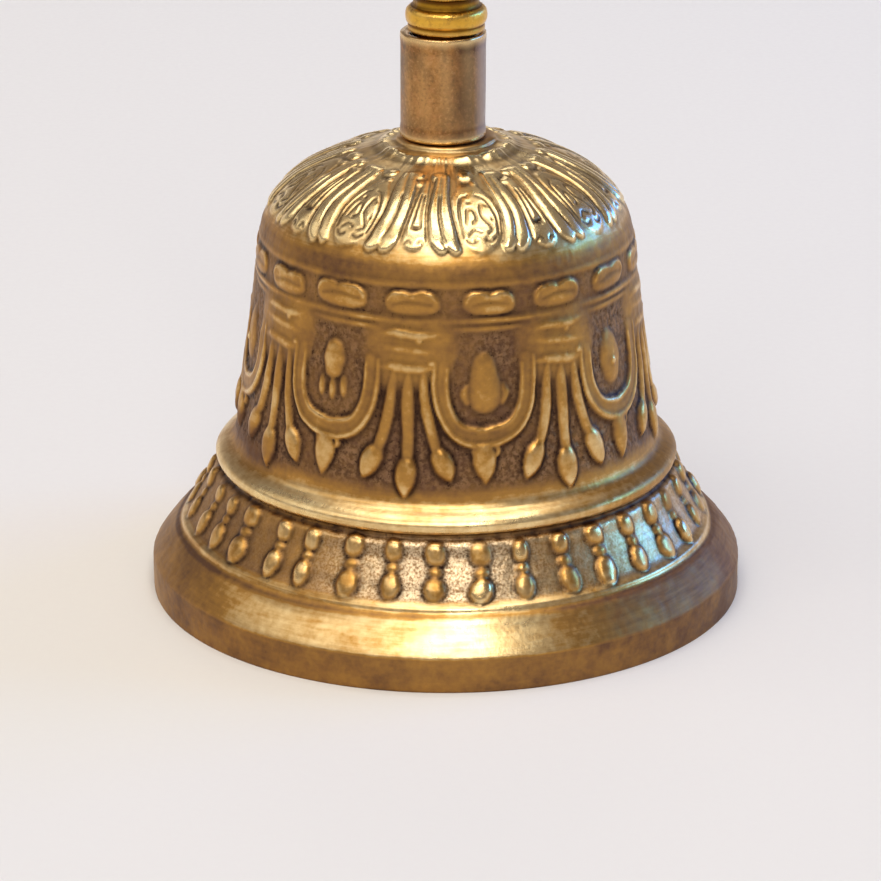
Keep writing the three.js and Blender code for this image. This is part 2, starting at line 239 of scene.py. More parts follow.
class Relief:
    """Ornament on a turned piece, drawn on its outside laid flat, at each repeat of a row.

    A place is (turn, height), with the turn in degrees from the middle of the nearest repeat.
    Widths, reaches and the heights of ridges are in mm.
    """

    def __init__(self, section, columns, wobble=0.0):
        self.radius, self.height = section.T
        self.climb = np.maximum.accumulate(self.height) + 1e-6 * np.arange(len(section))
        self.along = lengths(section)
        self.turns = column_turns(columns)
        self.random = np.random.default_rng(SEED)
        self.high = np.zeros((len(section), columns))
        self.drift = [wobble * self.waves(0.9) for _ in (0, 1)]

    def repeat(self, middle, count):
        """Starts a row: what is drawn next stands this many times round the piece, once at the middle."""
        pitch = 360 / count
        shifted = self.turns - middle + pitch / 2
        self.count, self.number = count, np.floor(shifted / pitch).astype(int)
        self.turn = shifted % pitch - pitch / 2

    def waves(self, size):
        """A slow, even unevenness of about -1 to 1, that meets itself round the piece."""
        turns = np.radians(self.turns)[None, :]
        along = self.along[:, None]
        total = 0
        for _ in range(WAVES):
            around = self.random.integers(1, 14)
            up = self.random.normal(0, 0.35 * size)
            total = total + np.sin(around * turns + up * along + self.random.uniform(0, 2 * pi))
        return total / sqrt(WAVES / 2) / 1.6

    def uneven(self, size):
        """An amount for each repeat, the same over all of its columns."""
        return self.random.normal(0, size, self.count)[self.number % self.count]

    def grit(self, reach):
        """A fine grain with a reach in cells, even in strength."""
        field = blurred(self.random.normal(0, 1, self.high.shape), reach)
        return field / field.std()

    def between(self, low, high, fade=0.4):
        """1 on the rows between two heights, and 0 away from them."""
        rise = np.clip((self.height - low) / fade + 0.5, 0, 1)
        fall = np.clip((high - self.height) / fade + 0.5, 0, 1)
        return np.minimum(rise, fall)[:, None] + 0 * self.high

    def by_turn(self, table):
        """A value for each column, from a table of (turn, value)."""
        return np.interp(self.turns, *zip(*table))[None, :]

    def laid(self, place):
        """Where a place lies on the outside laid flat, in mm across and along."""
        turn, height = place
        radius, along = (np.interp(height, self.climb, values) for values in (self.radius, self.along))
        return radians(turn) * radius, along

    def rows(self, places, reach):
        """The rows that a shape along places can touch."""
        ends = [self.laid(place)[1] for place in places]
        first = np.searchsorted(self.along, min(ends) - reach)
        return slice(first, np.searchsorted(self.along, max(ends) + reach))

    def flat(self, rows):
        """Every point of some rows laid flat, with the slow drift of hand work in it."""
        across = np.radians(self.turn)[None, :] * self.radius[rows, None] + self.drift[0][rows]
        return across, self.along[rows, None] + self.drift[1][rows]

    def ridge(self, places, widths, high, round_off=0.75):
        """A rounded ridge along places, as wide each side as widths say, and lower where it is thin."""
        places = smooth_places(places)
        widths = np.interp(np.linspace(0, 1, len(places)), np.linspace(0, 1, len(widths)), widths)
        widest = widths.max()
        rows = self.rows(places, widest + DRIFT)
        u, v = self.flat(rows)
        out = np.zeros(self.high.shape)
        best = out[rows]
        for (a, b), (wide_a, wide_b) in zip(zip(places, places[1:]), zip(widths, widths[1:])):
            (ua, va), (ub, vb) = self.laid(a), self.laid(b)
            du, dv = ub - ua, vb - va
            t = np.clip(((u - ua) * du + (v - va) * dv) / max(du * du + dv * dv, 1e-9), 0, 1)
            wide = wide_a + t * (wide_b - wide_a)
            share = np.hypot(u - ua - t * du, v - va - t * dv) / wide
            rise = np.sqrt(wide / widest) * np.clip(1 - share ** 2, 0, 1) ** round_off
            np.maximum(best, rise, out=best)
        return high * out

    def both(self, places, *shape):
        """A ridge and its mirror image."""
        mirrored = [(-turn, height) for turn, height in places]
        return np.maximum(self.ridge(places, *shape), self.ridge(mirrored, *shape))

    def blob(self, place, reaches, high, round_off=0.6, square=2.0):
        """An oval boss with reaches across and up; a larger square makes it boxier."""
        rows = self.rows([place], reaches[1] + DRIFT)
        u, v = self.flat(rows)
        middle_u, middle_v = self.laid(place)
        share = (abs(u - middle_u) / reaches[0]) ** square + (abs(v - middle_v) / reaches[1]) ** square
        out = np.zeros(self.high.shape)
        out[rows] = np.clip(1 - share, 0, 1) ** round_off
        return high * out

    def raise_by(self, *shapes):
        for shape in shapes:
            np.maximum(self.high, shape, out=self.high)

    def sink_by(self, depth):
        self.high -= depth


def smooth_places(places, pieces=4):
    """The places with a smooth curve between them."""
    places = np.asarray(places, float)
    if len(places) < 3:
        return places
    fine = np.linspace(0, len(places) - 1, pieces * (len(places) - 1) + 1)
    slopes = np.gradient(places, axis=0)
    index = np.minimum(fine.astype(int), len(places) - 2)
    return cubic(places, slopes, index, (fine - index)[:, None])


def displaced(section, high):
    """A turned section's grid points, moved out along its own normal by a height in mm for each."""
    slope = np.gradient(section, axis=0)
    slope /= np.hypot(*slope.T)[:, None]
    columns = high.shape[1]
    turns = np.radians(column_turns(columns))
    outward = slope[:, 1:] * high * MM
    return ring_points(section, columns) + np.stack([
        outward * np.sin(turns),
        -outward * np.cos(turns),
        -slope[:, :1] * high * MM,
    ], 2)


# Bell ornament: each row's first middle in degrees, and its number of repeats
BEADS = (-2.6, 36)
LOZENGES = (12.3, 16)
BLOCKS = (-10.8, 8)
SWAGS = (10.9, 8)
PETALS = (11.5, 8)
PETAL_GAPS = (34.0, 8)
LEAF_TIPS = (11.5, 24)
DROP_WIDTHS = (0.8, 1.2, 1.42, 1.46, 1.4, 1.22, 0.94, 0.6, 0.25)  # mm each side, from the top

# Parts of the bell, from a height to a height in mm
FACET = (0, 4.6)
LIP_CURVE = (4, 8)
LIP = (4.6, 9.0)
BAND = (10.3, 17.4)
TORUS = (17.6, 21.4)
WAIST_FOOT = (20.6, 26)
CROWN = (53.9, 60.3)

# How much rounder the bell's edges are at a height, over the torus
ROUNDER = ((19.2, 0), (20.2, 1), (24, 1), (26, 0))

# Bell finish: how polished it is at a height, and how that changes round it: painted shade that darkens and dulls
# the sides, and a painted highlight that lightens the band's ground at the front and back.
POLISH = (
    (0, 0.14), (4.4, 0.14), (4.8, 1), (8.4, 1), (8.9, 0.2), (9.4, 0.9), (10.1, 0.9), (10.4, 0.1), (17.4, 0.1),
    (18.0, 1.1), (20.2, 1.2), (20.9, 1), (22.6, 0.3), (23.4, 0), (44, 0.12), (51.6, 0.15), (52.4, 0.6),
    (53.6, 0.95), (54.2, 1.1), (61, 1.1), (62, 0.9),
)
DULL_AND_SHADED_RIGHT = ((18, 0), (34, 0.5), (46, 1), (110, 1), (160, 0))
DULL_AND_SHADED_LEFT = ((-160, 0), (-110, 1), (-64, 1), (-40, 0))
POLISH_AND_HIGHLIGHT_BAND = ((-150, 1), (-100, 0.2), (-45, 0.2), (-12, 1))
SAND_HIGHLIGHT_BAND = ((-150, 1), (-100, 0.1), (-35, 0.1), (-10, 1), (10, 1), (24, 0.3), (100, 0.3), (150, 1))


def bead_band(relief):
    """Columns of a bead, a small bead and an egg under the torus, on a sunk and grainy ground."""
    relief.repeat(*BEADS)
    lean, stretch, struck = relief.uneven(0.5), relief.uneven(0.08), 1 + relief.uneven(0.14)
    relief.turn = (relief.turn + lean) * (1 + stretch)
    relief.sink_by(0.3 * relief.between(10.3, 17.35, 0.5))
    egg = relief.ridge([(0, 12.6), (0, 11.9), (0, 11.2), (0, 10.6)], (0.8, 1.3, 1.42, 1.2, 0.7), 0.7, 0.4)
    relief.raise_by(
        struck * relief.blob((0, 15.75), (1.26, 1.5), 0.62, 0.4, 2.3),
        relief.blob((0, 13.75), (0.92, 0.8), 0.42, 0.45),
        egg / struck,
    )
    undercut = relief.between(17.15, 17.85, 0.5)
    scallop = relief.blob((0, 17.4), (3.0, 1.2), 0.3, 0.5)
    relief.sink_by((0.55 - scallop) * undercut)
    relief.high += 0.14 * relief.waves(0.7) * relief.between(8.2, 10.2, 0.8)


def lozenge_row(relief):
    """A row of pillows, each with a dip in its upper edge and a fold, over a broken double line."""
    relief.repeat(*LOZENGES)
    fold = relief.ridge([(-5.5, 47.0), (0, 47.5), (6, 47.1)], (0.3, 0.5, 0.3), 0.14, 1.0)
    notch = relief.blob((0.8, 48.8), (1.3, 0.6), 0.16, 1.0)
    body = relief.blob((0, 47.3), (3.7, 1.66), 0.46, 0.5, 2.8)
    edge = [(0.8, 48.35), (3.2, 48.6), (6.0, 48.35), (7.4, 47.4)]
    rim = relief.both(edge, (0.3, 0.34, 0.26), 0.52, 0.6)
    relief.raise_by(np.maximum(body - (fold + notch) * (body > 0), 0), rim * (body > 0))
    broken = np.clip(0.75 + 0.6 * relief.waves(0.3), 0.15, 1)
    relief.raise_by(
        0.42 * relief.between(44.7, 45.25, 0.5) * broken,
        0.3 * relief.between(43.7, 44.1, 0.4) * np.clip(broken[:, ::-1], 0.15, 1),
        0.14 * relief.between(49.3, 49.9, 0.4),
    )


def hanging_blocks(relief):
    """A raised field between the sunk ovals, softly ridged, with three strands that end in drops."""
    relief.repeat(*BLOCKS)
    relief.raise_by(relief.blob((0, 40.9), (6.9, 5.9), 0.52, 1.4, 2.8))
    for height, tilt, rise, wide in ((43.3, 0.3, 0.7, 1.1), (41.3, -0.3, 0.68, 1.0), (38.9, 0.2, 0.7, 1.3)):
        line = [(-9.5, height - tilt), (-4, height + 0.1), (3, height - 0.1), (9.5, height + tilt)]
        relief.raise_by(relief.ridge(line, (0.3, wide, wide, 0.3), rise, 1.3))
    for place in ((2.6, 42.6), (-5.2, 39.2), (1.6, 39.1), (6.6, 39.6)):
        relief.raise_by(relief.blob(place, (0.7, 0.5), 0.74, 0.7))
    middle_drop = [(0, 26.8), (0, 25.6), (0, 24.4), (0, 23.3), (0, 22.2)]
    side_strand = [(4.3, 38.4), (5.3, 33), (7.3, 29.2), (9.0, 27.4)]
    side_drop = [(8.4, 28.0), (9.3, 27.1), (10.2, 26.1), (11.0, 25.1), (11.7, 24.2)]
    relief.raise_by(
        relief.ridge([(0, 38.4), (0, 33), (0, 26.2)], (0.6, 0.92, 0.85, 0.78), 0.6, 0.5),
        relief.ridge(middle_drop, DROP_WIDTHS, 0.88, 0.45),
        relief.both(side_strand, (0.6, 0.85, 0.8, 0.75), 0.58, 0.5),
        relief.both(side_drop, DROP_WIDTHS, 0.84, 0.45),
    )


def swags(relief):
    """Swags between the fields, each a rimmed band with a pendant, round a sunk oval that holds an emblem."""
    relief.repeat(*SWAGS)
    outer = [(14.2, 39.6), (14.2, 36.0), (13.0, 33.0), (9.6, 30.5), (4.8, 29.2), (0, 28.9)]
    inner = [(10.6, 38.8), (10.6, 35.6), (9.4, 33.3), (6.4, 31.6), (0, 30.9)]
    middle = [(12.4, 39.4), (12.4, 35.8), (11.2, 33.1), (8.0, 31.0), (4, 30.1), (0, 29.85)]
    relief.raise_by(
        relief.both(middle, (1.15, 1.3, 1.35), 0.42, 0.4),
        relief.both(outer, (0.4, 0.5, 0.55), 0.66),
        relief.both(inner, (0.35, 0.42, 0.46), 0.56),
    )
    oval = relief.blob((0, 37.4), (3.95, 5.9), 1.0, 0.3, 2.3)
    sunk = 0.45
    relief.high = relief.high * (1 - oval) - sunk * oval
    kind = (relief.number + 1) % 3
    leaf = np.maximum(
        relief.ridge([(0.4, 41.0), (0.4, 40.0), (0.3, 38.8), (0.2, 37.5), (0, 36.6)],
                     (0.7, 1.55, 1.85, 1.55, 0.6), 1.15, 0.4),
        np.maximum.reduce([
            relief.blob((side, 35.0 + lift), (0.72, 1.7), 0.85, 0.45)
            for side, lift in ((-3.6, 0.15), (0.1, -0.1), (3.8, 0.35))
        ]),
    )
    lantern = np.maximum(
        relief.ridge([(-0.6, 40.4), (-0.6, 39.3), (-0.4, 38.0), (-0.2, 36.8), (0, 35.6), (0, 34.8)],
                     (0.75, 1.5, 1.85, 2.0, 2.3, 2.55, 1.9), 1.1, 0.4),
        relief.both([(4.9, 36.4), (5.7, 35.5), (5.0, 34.6)], (0.6, 0.85, 0.7), 0.9, 0.6),
        relief.both([(1.9, 37.2), (3.3, 35.9)], (0.4, 0.5), 1.25, 0.7),
    )
    teardrop = np.maximum(
        relief.ridge([(-1.0, 41.2), (-1.0, 39.4), (-0.8, 37.4), (-0.6, 35.4), (-0.4, 33.6)],
                     (0.3, 1.3, 2.3, 2.75, 2.4, 1.0), 1.0, 0.45),
        relief.blob((-0.8, 36.1), (0.9, 0.9), 1.35),
    )
    for this, emblem in enumerate((leaf, lantern, teardrop)):
        there = (kind == this)[None, :]
        relief.high = np.where(there & (emblem > 0), np.maximum(relief.high, emblem - sunk), relief.high)
    relief.raise_by(
        relief.ridge([(-0.6, 28.7), (-0.6, 27.4), (-0.6, 26.2), (-0.6, 24.9), (-0.6, 23.7)],
                     (0.9, 1.5, 1.62, 1.6, 1.4, 1.05, 0.65, 0.25), 0.8, 0.45),
        relief.both([(2.2, 28.7), (3.3, 28.2), (2.9, 27.5)], (0.3, 0.42, 0.3), 0.5),
    )


def crown_petals(relief):
    """Eight petals with double rims down the crown, a scrolled bud cut in each, and a palmette between them."""
    relief.sink_by(0.25 * relief.between(*CROWN, 0.6))
    relief.repeat(*PETALS)
    for top, middle, low in ((11.0, 11.6, 9.0), (15.0, 15.9, 13.4)):
        rim = [(top, 60.3), (middle - 0.3, 58.8), (middle, 57.2)]
        rim += [(middle - 0.5, 55.8), (low + 1.4, 54.5), (low, 53.8)]
        relief.raise_by(relief.both(rim, (0.48, 0.66, 0.8, 0.9, 0.94, 0.74), 0.4, 0.28))
    field = [(0, 59.2), (0, 58.2), (0, 57.0), (0, 55.6), (0, 54.9)]
    relief.raise_by(relief.ridge(field, (1.5, 2.5, 2.9, 2.8, 2.2), 0.24, 0.2))
    left_curl = [(-4.6, 56.4), (-3.4, 57.6), (-1.4, 57.7), (-0.8, 56.8), (-2.4, 56.4)]
    right_curl = [(4.4, 58.0), (2.2, 58.2), (1.0, 57.2), (2.8, 56.4), (4.4, 55.6), (2.6, 55.2)]
    cuts = [
        relief.both([(1.4, 58.9), (4.4, 58.6), (6.3, 57.5), (6.7, 56.3), (6.2, 55.1)], (0.14, 0.18), 1),
        relief.ridge(left_curl, (0.14, 0.2), 1),
        relief.ridge(right_curl, (0.14, 0.2), 1),
        relief.ridge([(-4.2, 55.2), (-2.2, 55.7), (0.2, 55.4)], (0.16, 0.2), 1),
        relief.blob((-2.0, 58.3), (0.3, 0.22), 1),
        relief.blob((4.9, 56.6), (0.26, 0.26), 1),
        relief.both([(1.6, 54.6), (3.4, 54.4), (5.2, 54.8)], (0.24, 0.24), 1),
        relief.both([(13.2, 58.8), (13.9, 57.2), (13.3, 55.8), (11.9, 54.6)], (0.12, 0.16), 1),
    ]
    relief.repeat(*PETAL_GAPS)
    fan = [(0, 59.9), (0, 58.4), (0, 56.8), (0, 55.2), (0, 54.6)]
    relief.raise_by(relief.ridge(fan, (0.5, 0.8, 1.1, 1.4, 1.5), 0.3, 0.25))
    cuts += [
        relief.both([(0.9, 59.0), (1.2, 57.4), (1.7, 55.8)], (0.13, 0.18), 1),
        relief.blob((0, 55.9), (0.62, 0.42), 1.6, 0.6),
        relief.both([(1.0, 54.2), (2.0, 54.5), (3.0, 54.2)], (0.18, 0.18), 1),
    ]
    relief.cuts = np.maximum.reduce(cuts)
    relief.sink_by(0.2 * relief.cuts)
    relief.high += 0.03 * relief.waves(1.6) * relief.between(*CROWN, 0.6)
    around_neck = np.exp(-((relief.radius - 8.2) / 0.95) ** 2) * (relief.height > 60)
    relief.high += around_neck[:, None] * (0.6 + 0.14 * relief.waves(0.6))
    streaks = np.sin(np.radians(relief.turns) * 41 + 2 * relief.waves(0.4))
    relief.high += 0.03 * streaks * relief.between(60.6, 61.6, 0.4)
    relief.repeat(*LEAF_TIPS)
    relief.turn = relief.turn + relief.uneven(0.9)
    relief.turn *= np.clip(1 + relief.uneven(0.2), 0.7, 1.4)
    relief.raise_by(
        relief.blob((0, 60.3), (1.3, 0.9), 0.3, 0.5, 2.4),
        relief.blob((4.5, 59.8), (0.7, 0.6), 0.22, 0.6),
    )


def bell_relief(section):
    relief = Relief(section, BELL_COLUMNS, wobble=0.22)
    crown_petals(relief)
    lozenge_row(relief)
    hanging_blocks(relief)
    swags(relief)
    bead_band(relief)
    return relief


def bell_fields(relief):
    """What the bronze's material reads: how worn, sunk, sandy, grainy and polished each place is, with painted
    shade that darkens and dulls the lip, torus, facet and waist foot down the sides and browns the lip's right
    side, and a painted highlight in the pale sand of the band's ground at the front and back.
    """
    high = blurred(relief.high, 0.7)
    polish_and_painted_light = np.interp(relief.height, *zip(*POLISH))[:, None] + 0 * high
    ground = np.clip(1 - high / 0.2, 0, 1)
    band = relief.between(*BAND, 0.5)
    # Painted highlight: the band's ground is made lighter and glossier at the front and back than on the left.
    polish_and_painted_light += 0.7 * ground * band * relief.by_turn(POLISH_AND_HIGHLIGHT_BAND)
    # Painted shade: lower polish darkens the colour as well as roughening it, on the lip, torus, waist foot and
    # facet down the right and left sides.
    dull_and_shaded_right, dull_and_shaded_left = relief.by_turn(DULL_AND_SHADED_RIGHT), relief.by_turn(DULL_AND_SHADED_LEFT)
    polish_and_painted_light -= (1.15 * dull_and_shaded_right + 0.7 * dull_and_shaded_left) * relief.between(*LIP)
    polish_and_painted_light -= 0.6 * dull_and_shaded_right * relief.between(*TORUS, 0.6)
    polish_and_painted_light -= 0.6 * dull_and_shaded_left * relief.between(*WAIST_FOOT, 1.5)
    polish_and_painted_light -= 0.3 * dull_and_shaded_right * relief.between(*FACET)
    grainy = (relief.between(23.4, 43.6, 1.4) + 0.45 * relief.between(45.4, 49.2, 0.6)
              + 0.25 * band + 0.3 * relief.between(54, 60.5, 1))
    return {
        "relief": np.clip(high, -1, 1),
        "worn": np.clip((high - blurred(high, 2.5)) / 0.18, 0, 1),
        "sunk": np.clip(np.maximum((blurred(high, 2.2) - high) / 0.12, 0.95 * relief.cuts), 0, 1),
        # Painted highlight: a pale sandy colour on the band's ground, strongest at the front and back.
        "sand_and_highlight": blurred(ground * band, 0.8) * relief.by_turn(SAND_HIGHLIGHT_BAND),
        "grain": blurred(ground * grainy, 0.8),
        "polish_and_painted_light": polish_and_painted_light,
        # Painted shade: a brown over the lip's right side, partly a duller finish.
        "dull_shade": dull_and_shaded_right * relief.between(*LIP),
    }


def flatter_lip(loop):
    """The section with the lip's curve let half down to a straight slope."""
    loop = loop.copy()
    lower, upper = (loop[loop[:, 1] > height][0] for height in LIP_CURVE)
    for corner in loop:
        if lower[1] < corner[1] < upper[1]:
            share = (corner[1] - lower[1]) / (upper[1] - lower[1])
            straight = lower[0] + share * (upper[0] - lower[0])
            corner[0] = (corner[0] + straight) / 2
    return loop


def bell_casting():
    """The bell's skin: sharp on the whole, rounder over the torus, and rubbed soft over the waist."""
    loop = cad_section("bell_body")
    top = int(np.argmax(loop[:, 1]))
    loop_outside = flatter_lip(loop[:top + 1])
    sharp, soft = softened(loop_outside, BELL_EDGE), softened(loop_outside, TORUS_EDGE)
    share = np.interp(sharp[:, 1], *zip(*ROUNDER))[:, None]
    outside = respaced(sharp + share * (soft - sharp), BELL_ROW)
    inside = np.concatenate([loop[top:], loop[:1]])
    inside = respaced(softened(inside, BELL_EDGE), INSIDE_ROW)[1:-1]
    relief = bell_relief(outside)
    fields = bell_fields(relief)
    leather = np.minimum(relief.grit(1.3), 0.6)
    rough = 0.05 * leather * fields["grain"] + 0.014 * relief.grit(1.6) * (1 - fields["polish_and_painted_light"])
    dents = 0.08 * relief.waves(0.25)
    rubbed = 0.6 * relief.between(26, 50, 3)
    shape = blurred(relief.high, 0.85)
    shape += rubbed * (blurred(relief.high, 1.4) - shape)
    high = (shape + rough + dents) * np.clip(relief.height / 0.5, 0, 1)[:, None]
    points = np.concatenate([displaced(outside, high), ring_points(inside, BELL_COLUMNS)])
    for field, values in fields.items():
        fields[field] = np.concatenate([values, np.zeros((len(inside), BELL_COLUMNS))])
    return grid_object("bell_casting", points, fields)


# Materials

class Nodes:
    """A material's node tree, with a short call for each kind of node that is used."""

    def __init__(self, name):
        self.material = bpy.data.materials.new(name)
        self.material.use_nodes = True
        self.tree = self.material.node_tree
        self.shader = self.tree.nodes["Principled BSDF"]

    def add(self, kind, inputs=None, **settings):
        node = self.tree.nodes.new(kind)
        for key, value in settings.items():
            setattr(node, key, value)
        for key, value in (inputs or {}).items():
            self.put(node.inputs[key], value)
        return node

    def put(self, socket, value):
        if isinstance(value, bpy.types.NodeSocket):
            self.tree.links.new(value, socket)
        else:
            socket.default_value = value

    def field(self, name):
        return self.add("ShaderNodeAttribute", attribute_name=name).outputs["Fac"]

    def math(self, operation, *values):
        node = self.add("ShaderNodeMath", operation=operation)
        for socket, value in zip(node.inputs, values):
            self.put(socket, value)
        return node.outputs[0]

    def times(self, one, other):
        return self.math("MULTIPLY", one, other)

    def plus(self, total, *others):
        for other in others:
            total = self.math("ADD", total, other)
        return total

    def place(self, axis):
        """How far along X, Y or Z a point lies, in metres."""
        place = self.add("ShaderNodeTexCoord").outputs["Object"]
        return self.add("ShaderNodeSeparateXYZ", {0: place}).outputs[axis]

    def span(self, value, low, high, to_low=0.0, to_high=1.0):
        """The value moved from one range to another and kept inside it."""
        inputs = {"Value": value, "From Min": low, "From Max": high, "To Min": to_low, "To Max": to_high}
        return self.add("ShaderNodeMapRange", inputs, clamp=True).outputs[0]

    def noise(self, size, detail, roughness=0.55, stretch=(1, 1, 1)):
        """Noise with features of about a size in metres, drawn out along axes where stretch is above 1."""
        place = self.add("ShaderNodeTexCoord").outputs["Object"]
        scale = tuple(1 / (size * s) for s in stretch)
        moved = self.add("ShaderNodeMapping", {"Vector": place, "Scale": scale}).outputs[0]
        inputs = {"Vector": moved, "Scale": 1.0, "Detail": detail, "Roughness": roughness}
        return self.add("ShaderNodeTexNoise", inputs).outputs["Fac"]

    def mix(self, share, one, other):
        node = self.add("ShaderNodeMix", data_type="RGBA")
        for socket, value in ((0, share), (6, one), (7, other)):
            self.put(node.inputs[socket], value)
        return node.outputs[2]

    def layered(self, base, *coats):
        """A base colour under coats of (share, colour), the last on top."""
        for share, tint in coats:
            base = self.mix(share, base, tint)
        return base

    def bump(self, height, distance, strength, under=None):
        inputs = {"Height": height, "Distance": distance, "Strength": strength}
        if under:
            inputs["Normal"] = under
        return self.add("ShaderNodeBump", inputs).outputs[0]

    def finish(self, base, rough, normal, metallic=1.0):
        sockets = {"Base Color": base, "Metallic": metallic, "Roughness": rough, "Normal": normal}
        for name, value in sockets.items():
            self.put(self.shader.inputs[name], value)
        return self.material


def colour(red, green, blue):
    """A colour given as the eye sees it, 0 to 255, as the linear values that a shader takes."""
    shares = [c / 255 for c in (red, green, blue)]
    return tuple(c / 12.92 if c <= 0.04045 else ((c + 0.055) / 1.055) ** 2.4 for c in shares) + (1.0,)


def bell_bronze():
    """Cast bronze: brown and rough where sunk or grainy, gold where it is rubbed or polished; its polish field
    also carries painted shade down the sides and a painted highlight on the band's ground.
    """
    n = Nodes("bell_bronze")
    cloud = n.noise(0.012, 4)
    patch = n.noise(0.004, 4)
    fleck = n.noise(0.0009, 3)
    brushed = n.noise(0.0004, 2, 0.6, (14, 14, 1))
    pits = n.noise(0.00045, 2)
    polish_and_painted_light = n.field("polish_and_painted_light")
    worn = n.field("worn")
    sunk = n.field("sunk")
    grain = n.times(n.field("grain"), n.span(patch, 0.36, 0.6, 0.3, 1.0))
    lines = n.times(n.span(brushed, 0.35, 0.65, -0.06, 0.06), n.span(polish_and_painted_light, 0.1, 0.8, 0.2, 1.0))
    # The tone takes painted shade and painted highlight from the polish field, as well as the finish.
    tone = n.plus(
        n.span(n.field("relief"), -0.4, 0.8, -0.04, 0.48),
        n.times(polish_and_painted_light, 0.6),
        n.span(cloud, 0.35, 0.65, -0.1, 0.1),
        n.span(patch, 0.35, 0.65, -0.08, 0.08),
        n.span(fleck, 0.3, 0.7, -0.08, 0.08),
        lines,
        n.times(worn, 0.25),
    )
    # The brown of the painted shade on the lip's right side.
    dull_shade = n.mix(n.span(brushed, 0.3, 0.7), colour(128, 84, 48), colour(166, 114, 64))
    leather = n.mix(n.span(n.noise(0.0006, 2), 0.4, 0.6), colour(84, 62, 50), colour(152, 118, 88))
    # Pale grainy sand, whose paleness also stands in for a highlight.
    sand_and_highlight = n.mix(n.span(n.noise(0.00032, 2), 0.36, 0.62), colour(134, 106, 78), colour(234, 210, 172))
    spots = n.times(n.span(pits, 0.6, 0.68), n.plus(n.times(grain, 0.6), sunk))
    base = n.layered(
        colour(146, 104, 60),
        (n.span(tone, -0.9, 0.0), colour(114, 82, 60)),
        (n.span(tone, 0.0, 0.55), colour(190, 141, 70)),
        (n.span(tone, 0.5, 1.0), colour(252, 224, 164)),
        # Painted shade: a dull brown over the lip's right side.
        (n.times(n.field("dull_shade"), n.span(cloud, 0.35, 0.65, 0.95, 0.5)), dull_shade),
        (n.times(grain, 0.75), leather),
        # Painted highlight: pale sand over the band's ground at the front and back.
        (n.times(n.field("sand_and_highlight"), 0.85), sand_and_highlight),
        (n.times(sunk, n.span(patch, 0.35, 0.6, 0.6, 1.0)), colour(58, 39, 30)),
        (n.math("MINIMUM", spots, 0.8), colour(50, 34, 30)),
    )
    rough = n.plus(
        n.span(tone, -0.9, 1.1, 0.8, 0.23),
        n.span(fleck, 0.3, 0.7, -0.05, 0.05),
        n.times(grain, 0.05),
        n.times(worn, -0.07),
    )
    fine = n.bump(pits, 0.00006, n.span(grain, 0, 1, 0.3, 1.0))
    normal = n.bump(brushed, 0.00003, n.span(polish_and_painted_light, 0.1, 0.8, 0.08, 0.28), fine)
    return n.finish(base, rough, normal)


def sleeve_bronze():
    """Brushed tube with a patchy brown patina, a painted dark reflection down one side, and a painted lilac-grey
    reflection along its right edge.
    """
    n = Nodes("sleeve_bronze")
    cloud = n.noise(0.004, 4, 0.6, (1, 1, 1.8))
    patch = n.noise(0.0011, 3)
    streak = n.noise(0.0003, 2, 0.6, (1, 1, 20))
    mottle = n.noise(0.0005, 3, 0.65)
    worn = n.field("worn")
    side = n.place("X")
    # Painted reflection: where the dark band lies across the sleeve.
    dark_reflection_band = n.times(n.span(side, 0.0002, 0.0018), n.span(side, 0.0044, 0.003))
    base = n.layered(
        colour(94, 68, 46),
        (n.span(cloud, 0.35, 0.65), colour(178, 128, 74)),
        (n.span(patch, 0.5, 0.75, 0, 0.5), colour(190, 132, 84)),
        (n.span(mottle, 0.52, 0.7, 0, 0.6), colour(92, 66, 48)),
        (n.span(mottle, 0.46, 0.32, 0, 0.5), colour(204, 156, 104)),
        # Painted reflection: a dark band down the sleeve's right part.
        (n.times(dark_reflection_band, n.span(cloud, 0.3, 0.6, 0.75, 0.5)), colour(84, 64, 52)),
        # Painted reflection: lilac-grey along the sleeve's right edge.
        (n.span(side, 0.0036, 0.0046), colour(146, 128, 122)),
        (n.times(worn, 0.8), colour(236, 200, 140)),
    )
    rough = n.plus(n.span(patch, 0.3, 0.7, 0.32, 0.46), n.times(worn, -0.16))
    normal = n.bump(streak, 0.00003, 0.5, n.bump(patch, 0.0001, 0.35))
    return n.finish(base, rough, normal)


def handle_brass():
    """Yellow cast brass, dark in its grooves, with painted shade low on the foot ring and in a band above its
    bulge.
    """
    n = Nodes("handle_brass")
    grain = n.noise(0.0006, 3)
    cloud = n.noise(0.005, 3)
    specks = n.noise(0.0009, 3, 0.65)
    sunk = n.field("sunk")
    height = n.place("Z")
    # Painted shade: a band of heights above the bulging ring, darkened like a recess in shadow.
    recess_shade = n.times(n.span(height, 0.0805, 0.0811), n.span(height, 0.0835, 0.0822))
    base = n.layered(
        colour(200, 142, 28),
        (n.span(cloud, 0.35, 0.65), colour(232, 178, 52)),
        # Painted shade: darker orange towards the bottom of the foot ring.
        (n.span(height, 0.0784, 0.0772, 0, 0.75), colour(150, 88, 26)),
        # Painted shade in the recess above the bulging ring.
        (n.times(recess_shade, 0.75), colour(80, 48, 22)),
        (n.span(specks, 0.5, 0.66, 0, 0.55), colour(148, 92, 24)),
        (n.times(sunk, 0.8), colour(84, 52, 20)),
        (n.times(n.field("worn"), 0.5), colour(246, 204, 112)),
    )
    rough = n.plus(n.span(grain, 0.3, 0.7, 0.24, 0.4), n.times(sunk, 0.15))
    return n.finish(base, rough, n.bump(grain, 0.00015, 0.5))


